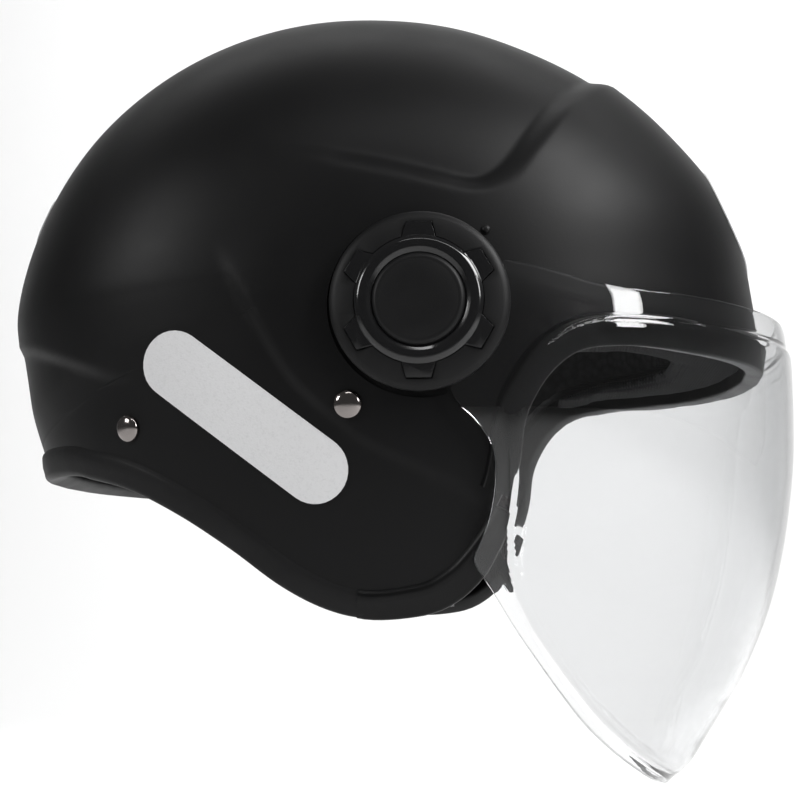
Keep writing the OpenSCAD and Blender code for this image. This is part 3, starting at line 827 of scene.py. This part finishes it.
def quilting(pts, side):
    """Sewn channels of the crown lining: soft panels between seam lines."""
    x, y, z = pts[..., 0], pts[..., 1], pts[..., 2]
    lane = np.abs(y) / 26.0
    seam = np.abs(lane - np.round(lane)) * 26.0
    cross = np.abs(np.mod(x + 30, 60) - 30)
    keep = ease(np.minimum(seam, cross) / 9.0)
    length = np.linalg.norm(pts, axis=-1, keepdims=True)
    swell = (keep * 2.6 - 2.0)[..., None]
    return pts * ((length - swell) / length)


def make_liners():
    foam = Dome(FOAM_RIM, 4.0, 2.4).solid("foam_block", SHELL_WALL + 0.5, FOAM_IN, 36, slot="foam",
                                          material=MAT["foam"])
    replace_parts(foam, "foam_liner")
    crown = Dome(CLOTH_RIM, 3.0, 1.6).solid("crown_quilt", FOAM_IN + 0.6, CLOTH_IN, 64, bulge=quilting,
                                            slot="mesh_lining", material=MAT["mesh"])
    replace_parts(crown, "crown_lining")


make_liners()


def stuffed(name, node, material, voxel=4.0, pressure=4.0, cap=3.0, shrink=1.0):
    """A pad: the CAD solid remeshed, drawn in a little and blown up as cloth, within a cap."""
    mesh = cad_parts[node].data.copy()
    obj = bpy.data.objects.new(name, mesh)
    bpy.context.scene.collection.objects.link(obj)
    m = obj.modifiers.new("voxels", "REMESH")
    m.mode = "VOXEL"
    m.voxel_size = voxel * MM
    settle(obj)
    mesh = obj.data
    n = len(mesh.vertices)
    normals = np.array([v.normal[:] for v in mesh.vertices])
    points = np.array([v.co[:] for v in mesh.vertices]) - normals * shrink * MM
    mesh.vertices.foreach_set("co", points.ravel())
    mesh.update()
    cloth = obj.modifiers.new("cloth", "CLOTH")
    cloth.settings.quality = 5
    cloth.settings.mass = 0.2
    cloth.settings.use_pressure = True
    cloth.settings.uniform_pressure_force = pressure
    cloth.settings.effector_weights.gravity = 0
    cloth.settings.tension_stiffness = 12
    cloth.settings.compression_stiffness = 12
    cloth.settings.bending_stiffness = 0.6
    scene = bpy.context.scene
    for f in range(1, 21):
        scene.frame_set(f)
    settle(obj)
    scene.frame_set(1)
    after = np.array([v.co[:] for v in obj.data.vertices])
    move = after - points
    length = np.linalg.norm(move, axis=1, keepdims=True)
    move *= np.minimum(1.0, cap * MM / np.maximum(length, 1e-9))
    obj.data.vertices.foreach_set("co", (points + move).ravel())
    obj.data.update()
    sub = obj.modifiers.new("fine", "SUBSURF")
    sub.levels = sub.render_levels = 1
    settle(obj)
    soften(obj, 180)
    dress(obj, "helmet", material)
    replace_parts(obj, node)
    return obj


def press_seams(obj, lines, width=2.2, depth=1.3):
    """Draws seam grooves into a pad along side-view lines."""
    mesh = obj.data
    pts = np.array([v.co[:] for v in mesh.vertices]) / MM
    normals = np.array([v.normal[:] for v in mesh.vertices])
    push = np.zeros(len(pts))
    for line in lines:
        d, _ = line_distance(pts[:, 0], pts[:, 2], spline(line, 6))
        push = np.maximum(push, depth * np.exp(-(d / width) ** 2))
    pts -= normals * push[:, None]
    mesh.vertices.foreach_set("co", (pts * MM).ravel())
    mesh.update()


def make_pads():
    for side, word in ((RIGHT, "right"), (LEFT, "left")):
        pad = stuffed("cheek_cushion_" + word, "cheek_pad_" + word, MAT["wine"])
        press_seams(pad, [[(-38, -44), (-30, -62), (-14, -78), (8, -84), (24, -78), (34, -62), (33, -46)]])
        spots = np.array([v.co[:] for v in pad.data.vertices]) / MM
        spots[:, 0] += 6.0 * ease((spots[:, 0] - 20) / 14) * ease((-44 - spots[:, 2]) / 12)
        pad.data.vertices.foreach_set("co", (spots * MM).ravel())
        pad.data.update()
    stuffed("neck_cushion", "neck_roll", MAT["knit"], voxel=4.0, cap=2.5)
    stuffed("brow_cushion", "brow_lining", MAT["knit"], voxel=3.0, cap=1.6, shrink=0.6)
    stuffed("chin_cushion", "chin_pad", MAT["knit"], voxel=2.0, cap=1.6, shrink=0.7)


make_pads()


# ---- visor
VISOR_FRONT = spline([(-172, 94), (-168.3, 98.1), (-161.7, 104.4), (-151.4, 110.7), (-140, 117.5),
                      (-128.7, 124), (-107, 133), (-85, 138.6), (-60, 142.2), (-40, 143), (-19, 142.6),
                      (1, 140.7)], 8)
VISOR_WIDE = spline([(-172, 40), (-161, 60), (-151, 73), (-140, 84), (-128, 93), (-106, 105), (-83, 112.5),
                     (-57, 117.5), (-36, EAR_Y + 0.3), (5, EAR_Y + 0.3)], 8)
VISOR_TOP = spline([(46, 0), (55, -1.8), (63.8, -4), (72.9, -6.4), (86, -7.8), (100, -8), (124, -8.6),
                    (146, -9)], 6)
VISOR_REAR = [(46, 0), (36, -8), (30, -18), (28, -30), (30, -42), (36.7, -49.3), (41.7, -57.3), (42.6, -66.3),
              (40.5, -79.2), (36, -90), (36.5, -94), (41, -101), (50, -116), (66.5, -140), (77, -151.8),
              (86, -159.8), (92.8, -165.3), (97.3, -168.3)]
BUBBLE = spline([(148, -17.8), (131.5, -17.7), (118, -17.5), (100, -17.3), (84.3, -17.3), (74, -18.3),
                 (65.7, -21.3), (58.7, -27), (51.3, -35.4), (48, -43.9), (47.1, -54.4), (47.1, -70.3),
                 (45.6, -84.2), (46.6, -97), (53.8, -113.6), (70.1, -137.3), (80.2, -148.6),
                 (88.9, -156.4), (95.2, -161.5), (101, -165.5), (112, -172)], 8)


def visor_grid(rows, cols, deep):
    """Points of one face of the visor: rows follow the rear edge down to the chin tip."""
    edge = even(spline(VISOR_REAR, 10), 1.0)
    at = np.linspace(0, len(edge) - 1, rows)
    ex, ez = (np.interp(at, np.arange(len(edge)), edge[:, k]) for k in (0, 1))
    reach = np.interp(ez, VISOR_FRONT[:, 0], VISOR_FRONT[:, 1]) - PIVOT[0]
    wide = np.interp(ez, VISOR_WIDE[:, 0], VISOR_WIDE[:, 1])
    ratio = np.clip((ex - PIVOT[0]) / reach, 0, 1)
    span = np.arccos(np.clip(ratio ** (SQUARE / 2), 0, 1))
    u = np.linspace(-1, 1, cols)
    s = np.sign(u) * (1 - (1 - np.abs(u)) ** 1.3)
    t = span[:, None] * s[None, :]
    nx = np.cos(t) ** (2 / SQUARE)
    ny = np.sign(t) * np.abs(np.sin(t)) ** (2 / SQUARE)
    x = PIVOT[0] + reach[:, None] * nx
    drop = np.interp(x[:1], VISOR_TOP[:, 0], VISOR_TOP[:, 1]) - ez[0]
    z = ez[:, None] + drop * np.maximum(0, 1 - np.arange(rows)[:, None] / (rows * 0.1)) ** 1.5
    y = wide[:, None] * ny
    d, _ = line_distance(x, z, BUBBLE)
    proud = 1.3 * ease((d + 1.3) / 2.6)
    out = proud * ease((ez + 169) / 10)[:, None] + VISOR_WALL - deep
    ux, uy = nx / reach[:, None], ny / wide[:, None]
    size = np.hypot(ux, uy)
    return np.stack([x + out * ux / size, y + out * uy / size, z], axis=-1)


def make_visor():
    rows, cols = 190, 260
    outer, inner = visor_grid(rows, cols, 0.0), visor_grid(rows, cols, VISOR_WALL)
    verts = np.concatenate([outer.reshape(-1, 3), inner.reshape(-1, 3)])
    half = rows * cols
    faces = grid_faces(rows, cols) + [tuple(v + half for v in f) for f in grid_faces(rows, cols)]
    loop = ([(0, c) for c in range(cols)] + [(r, cols - 1) for r in range(1, rows)]
            + [(rows - 1, c) for c in range(cols - 2, -1, -1)] + [(r, 0) for r in range(rows - 2, 0, -1)])
    for k, (r, c) in enumerate(loop):
        r2, c2 = loop[(k + 1) % len(loop)]
        faces.append((r * cols + c, r2 * cols + c2, half + r2 * cols + c2, half + r * cols + c))
    sheet = put("visor_sheet", verts, faces, body="visor_group", slot="clear_visor", material=MAT["clear"],
                smooth=35)
    carve(sheet, [prism_cutter("cut_ear", circle(26.6), 0, 20, on_pivot(side, EAR_Y - 10))
                  for side in (RIGHT, LEFT)])
    soften(sheet, 35)
    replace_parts(sheet, "visor")
    for side, word in ((RIGHT, "right"), (LEFT, "left")):
        profile = [(8.4, 0.1), (26.6, 0.1), (27.1, 0.6), (27.1, 1.6), (26.6, 2.1), (8.4, 2.1)]
        lathe("visor_ear_" + word, profile, on_pivot(side, EAR_Y), closed=True, body="visor_group",
              slot="clear_visor", material=MAT["clear"])


make_visor()


# ---- pivots
def make_pivots():
    for side, word in ((RIGHT, "right"), (LEFT, "left")):
        refined("visor_cover_" + word, "visor_group", MAT["matte"], 0.35, 3)
        star = refined("star_hub_" + word, "visor_group", MAT["gloss"], 0.35, 3)
        carve(star, [prism_cutter("cut_core", circle(19.5), -2, 20, on_pivot(side, EAR_OUT))])
        soften(star, 40)
        lathe("hub_ring_" + word,
              [(12.6, 1.5), (19.7, 1.5), (19.8, 1.6), (19.8, 4.7), (19.6, 5.05), (18.6, 5.75), (18.2, 5.9),
               (16.2, 5.9), (15.8, 5.8), (14.9, 5.25), (14.4, 5.1), (14.3, 5.0), (14.3, 4.0), (12.6, 4.0)],
              on_pivot(side, EAR_OUT), steps=192, closed=True, body="visor_group", slot="gloss_black",
              material=MAT["gloss"])
        cap = lathe("centre_cap_%s_turned" % word,
                    [(0.01, 4.0), (14.0, 4.0), (14.2, 4.2), (14.2, 5.4), (14.05, 5.7), (13.4, 6.3),
                     (13.1, 6.42), (12.6, 6.5), (12.3, 6.44), (12.1, 6.5), (6.0, 6.72), (0.01, 6.8)],
                    on_pivot(side, EAR_OUT), steps=192, body="visor_group", slot="matte_black",
                    material=MAT["matte"])
        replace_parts(cap, "centre_cap_" + word)
        for node, slot, mat in (("pivot_base_", "black_plastic", "black"),
                                ("pivot_washer_", "steel", "steel"), ("pivot_screw_", "steel", "steel")):
            refined(node + word, "helmet", MAT[mat], 0.15, 2)
        lathe("stop_nub_" + word, [(0.01, -0.4), (1.5, -0.4), (1.5, 0.5)] + arc(0, 0.5, 1.4, 0, 88, 5, 0.9),
              on_skin(40.1, 10.5, side), steps=24, slot="matte_black", material=MAT["matte"])
    refined("base_screws", "helmet", MAT["steel"], 0.1, 1)


make_pivots()


# ---- vent
def bend_to_skin(obj, radius):
    """Bends a vent piece across the forehead's curve."""
    m = vent_matrix()
    back = m.inverted()
    for v in obj.data.vertices:
        p = back @ v.co
        p.z -= p.y * p.y / (2 * radius * MM)
        v.co = m @ p
    obj.data.update()


def make_vent():
    for node, body, slot, mat, bevel in (("vent_frame", "helmet", "black_plastic", "black", 0.5),
                                         ("vent_slider", "vent_slide_group", "gloss_black", "gloss", 0.5),
                                         ("vent_screen", "helmet", "dark_mesh", "grid", 0.1)):
        bend_to_skin(refined(node, body, MAT[mat], bevel, 3, cuts=True),
                     240.0 if node == "vent_slider" else 118.0)


make_vent()


# ---- reflective strips
def skin_patch(name, node, outline, solve, look="reflective", thick=0.45, rings=10):
    """A thin film that follows the skin; the outline is in its own plane and solve() gives skin points."""
    outline = np.array(outline, float)
    centre = outline.mean(axis=0)
    n = len(outline)
    flat = np.array([centre] + [centre + (outline[k] - centre) * (j / rings)
                                for j in range(1, rings + 1) for k in range(n)])
    lift = np.concatenate([solve(flat[:, 0], flat[:, 1], out) for out in (thick, 0.02)])
    per = len(flat)
    faces = []
    for base in (0, per):
        faces += [(base, base + 1 + k, base + 1 + (k + 1) % n) for k in range(n)]
        for j in range(rings - 1):
            a = base + 1 + j * n
            faces += [(a + k, a + (k + 1) % n, a + n + (k + 1) % n, a + n + k) for k in range(n)]
    last = 1 + (rings - 1) * n
    faces += [(last + k, last + (k + 1) % n, per + last + (k + 1) % n, per + last + k) for k in range(n)]
    film = put(name, lift, faces, slot="reflective", material=MAT[look], smooth=40)
    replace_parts(film, node)
    return film


def stadium(length, width, tilt, cx, cz, n=20):
    r = width / 2
    pts = arc(length / 2, 0, r, -90, 90, n) + arc(-length / 2, 0, r, 90, 270, n)
    dense = even(np.array(pts + [pts[0]]), 2.0)[:-1]
    c, s = math.cos(math.radians(tilt)), math.sin(math.radians(tilt))
    return [(cx + x * c - y * s, cz + x * s + y * c) for x, y in dense]


def make_strips():
    for side, word in ((RIGHT, "right"), (LEFT, "left")):
        def on_side(x, z, out, s=side):
            return skin_spot(x, z, s, out)[0]
        skin_patch("side_film_" + word, "strip_side_" + word, stadium(57, 21, -36.7, -36, -46.7), on_side)

    def radial(angle):
        a = math.radians(angle)

        def solve(u, v, out):
            """Along the ray through the film's plane, out to the skin."""
            low, high = np.full(len(u), 60.0), np.full(len(u), 200.0)
            for _ in range(34):
                mid = (low + high) / 2
                x, z = math.cos(a) * mid - math.sin(a) * v, math.sin(a) * mid + math.cos(a) * v
                rho = np.hypot(x, z) / skin_r(np.degrees(np.arctan2(z, x)))
                inner = np.abs(u) < half_width(x) * np.maximum(0, 1 - rho ** SQUARE) ** (1 / SQUARE)
                low, high = np.where(inner, mid, low), np.where(inner, high, mid)
            p = np.stack([math.cos(a) * low - math.sin(a) * v, u,
                          math.sin(a) * low + math.cos(a) * v], axis=1)
            length = np.linalg.norm(p, axis=1)
            return p * ((length + rise(p[:, 0], p[:, 2]) + out) / length)[:, None]
        return solve
    turn = np.linspace(0, 2 * math.pi, 90, endpoint=False)
    skin_patch("front_film", "strip_front", [(44 * math.cos(t), 21 * math.sin(t)) for t in turn], radial(15),
               "pale_film", rings=14)
    skin_patch("rear_film", "strip_rear", [(54 * math.cos(t), 13 * math.sin(t)) for t in turn], radial(165),
               rings=14)


make_strips()


# ---- rivets and strap
def make_rivets():
    domes, washers = [], []
    for side in (RIGHT, LEFT):
        for x, z in RIVETS:
            profile = [(0.01, -9.3), (2.0, -9.3), (2.0, 0.0), (4.5, 0.0), (4.5, 0.35)]
            profile += [(4.45 * math.cos(a), 0.4 + 1.9 * math.sin(a)) for a in np.linspace(0.1, 1.52, 12)]
            profile.append((0.01, 2.3))
            domes.append(lathe("rivet", profile, on_skin(x, z, side, 0.1), steps=64, body=None,
                               material=MAT["chrome"], smooth=50))
            flat = [(2.15, 0), (6.3, 0), (6.5, 0.2), (6.5, 1.0), (6.3, 1.2), (2.15, 1.2)]
            washers.append(lathe("washer", flat, on_skin(x, z, side, -9.15), steps=48, closed=True,
                                 body=None, material=MAT["steel"]))
    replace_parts(joined("strap_rivet_heads", domes, "helmet"), "strap_rivets")
    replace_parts(joined("strap_washers", washers, "helmet"), "rivet_washers")


def joined(name, parts, body):
    """One object from several."""
    bm = bmesh.new()
    mats = []
    for p in parts:
        for m in p.data.materials:
            if m not in mats:
                mats.append(m)
    for p in parts:
        base = len(bm.faces)
        bm.from_mesh(p.data)
        bm.faces.ensure_lookup_table()
        index = [mats.index(m) for m in p.data.materials] or [0]
        for f in bm.faces[base:]:
            f.material_index = index[min(f.material_index, len(index) - 1)]
    mesh = bpy.data.meshes.new(name)
    bm.to_mesh(mesh)
    bm.free()
    obj = bpy.data.objects.new(name, mesh)
    bpy.context.scene.collection.objects.link(obj)
    for p in parts:
        bpy.data.objects.remove(p, do_unlink=True)
    for m in mats:
        obj.data.materials.append(m)
    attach(obj, body)
    soften(obj, 45)
    return obj


make_rivets()

STRAP_DEEP = SHELL_WALL + 2.8


def wall_stop(x, z, side, deep, across):
    """A stop below the skin, its width turned into the wall's own slope."""
    place, n = skin_spot(x, z, side, -deep)
    across = np.array(across, float)
    return place, across - n * (across @ n)


def webbing_band(name, node, stops, width, thick):
    """Woven strap through the stops, with soft selvedges."""
    centres = spline([s[0] for s in stops], 10)
    across = spline([s[1] for s in stops], 10)
    centres_even = even(np.hstack([centres, across]), 2.5)
    centres, across = centres_even[:, :3], centres_even[:, 3:]
    across /= np.linalg.norm(across, axis=1)[:, None]
    run = np.gradient(centres, axis=0)
    run /= np.linalg.norm(run, axis=1)[:, None]
    up = np.cross(run, across)
    up /= np.linalg.norm(up, axis=1)[:, None]
    h, t = width / 2, thick / 2
    outline = (arc(h - t, 0, t, -90, 90, 4) + [(w, t) for w in np.linspace(h - 2 * t, 2 * t - h, 7)]
               + arc(t - h, 0, t, 90, 270, 4) + [(w, -t) for w in np.linspace(2 * t - h, h - 2 * t, 7)])
    rings = [[centres[k] + across[k] * a + up[k] * b for a, b in outline] for k in range(len(centres))]
    band = tube(name, rings, slot="webbing", material=MAT["webbing"], smooth=60)
    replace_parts(band, node)
    return band


def make_strap():
    flat = (1, 0, 0)
    for side, word in ((RIGHT, "right"), (LEFT, "left")):
        stops = [wall_stop(x, z, side, STRAP_DEEP + more, flat) for x, z, more in
                 ((-2.5, -36, 0), (-2.5, -47, 0), (1, -60, 0), (5, -76, 0.3), (9, -89, 0.8))]
        for y, z, x in ((95.5, -96, 10.5), (88, -99, 11.5), (80, -100.3, 12), (66.9, -100.9, 12)):
            stops.append(((x, side * y, z), flat))
        if side > 0:
            for y in (50, 34, 20, 6):
                stops.append(((12, y, STRAP_LOW + 0.9 * y / 60 - 0.2), flat))
        webbing_band("webbing_front_" + word, "strap_front_" + word, stops, 22, 1.6)
        lean = (0.5, 0, 0.85)
        webbing_band("webbing_rear_" + word, "strap_rear_" + word, [
            wall_stop(x, z, side, STRAP_DEEP + more, lean) for x, z, more in
            ((-82, -46.5, 0), (-72, -51, 0), (-58, -58, 0), (-40, -66, 0.4), (-22, -75, 1.4),
             (-9, -81, 2.5), (3, -85, 2.8))], 17.6, 1.6)
    refined("buckle_body", "helmet", MAT["black"], 0.5, 3)
    refined("buckle_pin", "helmet", MAT["steel"], 0.2, 2)
    refined("buckle_lever", "lever_group", MAT["red"], 0.4, 3)
    refined("ratchet_tongue", "helmet", MAT["black"], 0.15, 2)


make_strap()


# ---- CAD pieces that stay as they are
LEFTOVER = {"lining_snaps": "black", "buckle_spring": "steel"}
for node, key in LEFTOVER.items():
    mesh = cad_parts[node].data
    mesh.materials.clear()
    mesh.materials.append(MAT[key])


# ---- stage, lights, camera
def area_light(name, place, aim, size, power, size_y=None):
    data = bpy.data.lights.new(name, "AREA")
    data.shape = "RECTANGLE"
    data.size = size
    data.size_y = size_y or size
    data.energy = power
    obj = bpy.data.objects.new(name, data)
    bpy.context.scene.collection.objects.link(obj)
    obj.location = place
    obj.rotation_mode = "QUATERNION"
    obj.rotation_quaternion = (Vector(aim) - Vector(place)).to_track_quat("-Z", "Y")
    return obj


def make_stage():
    floor_z, near, far, rise_r = -0.31, -3.0, 2.2, 1.2
    path = [(near, floor_z), (far, floor_z)] + [
        (far + rise_r * math.sin(a), floor_z + rise_r * (1 - math.cos(a)))
        for a in np.linspace(0.1, math.pi / 2, 14)]
    path += [(far + rise_r, floor_z + 5.0)]
    verts = [(x, y, z) for y, z in path for x in (-5.0, 5.0)]
    faces = [(2 * k, 2 * k + 1, 2 * k + 3, 2 * k + 2) for k in range(len(path) - 1)]
    floor = put("studio_sweep", verts, faces, body=None, scale=1.0)
    p = Paint("studio_white", (0.9, 0.9, 0.9), 0.9, Specular_IOR_Level=0.1)
    p.vary_rough(p.noise(3, 2), 0.85, 0.95)
    floor.data.materials.append(p.mat)
    world = bpy.data.worlds.new("studio")
    bpy.context.scene.world = world
    world.use_nodes = True
    world.node_tree.nodes["Background"].inputs["Color"].default_value = (1, 1, 1, 1)
    world.node_tree.nodes["Background"].inputs["Strength"].default_value = 0.09
    area_light("top_softbox", (0.3, -0.8, 1.2), (0.05, 0, 0), 1.4, 4, 0.15)
    area_light("key_softbox", (1.05, -0.5, 0.95), (0.05, 0, 0), 0.6, 16)
    area_light("front_softbox", (1.25, -0.95, 0.5), (0.08, 0, 0), 0.3, 6, 0.45)
    area_light("rear_softbox", (-1.3, -0.9, 0.6), (0, 0, 0), 0.5, 8)
    area_light("sweep_light", (0.0, 0.9, 1.9), (0, 3.3, 0.4), 2.4, 82)


make_stage()

CAMERA_AT = Vector((0.0599, -0.6426, -0.104))
CAMERA_AIM = Vector((0.0032, 0.0, -0.0291))
CAMERA_LENS = 77.85
camera_data = bpy.data.cameras.new("camera")
camera_data.sensor_width = 36
camera_data.lens = CAMERA_LENS
camera_data.clip_start = 0.01
camera = bpy.data.objects.new("camera", camera_data)
bpy.context.scene.collection.objects.link(camera)
camera.location = CAMERA_AT
camera.rotation_mode = "QUATERNION"
camera.rotation_quaternion = (CAMERA_AIM - CAMERA_AT).to_track_quat("-Z", "Y")
bpy.context.scene.camera = camera
bpy.context.scene.view_settings.view_transform = "Standard"
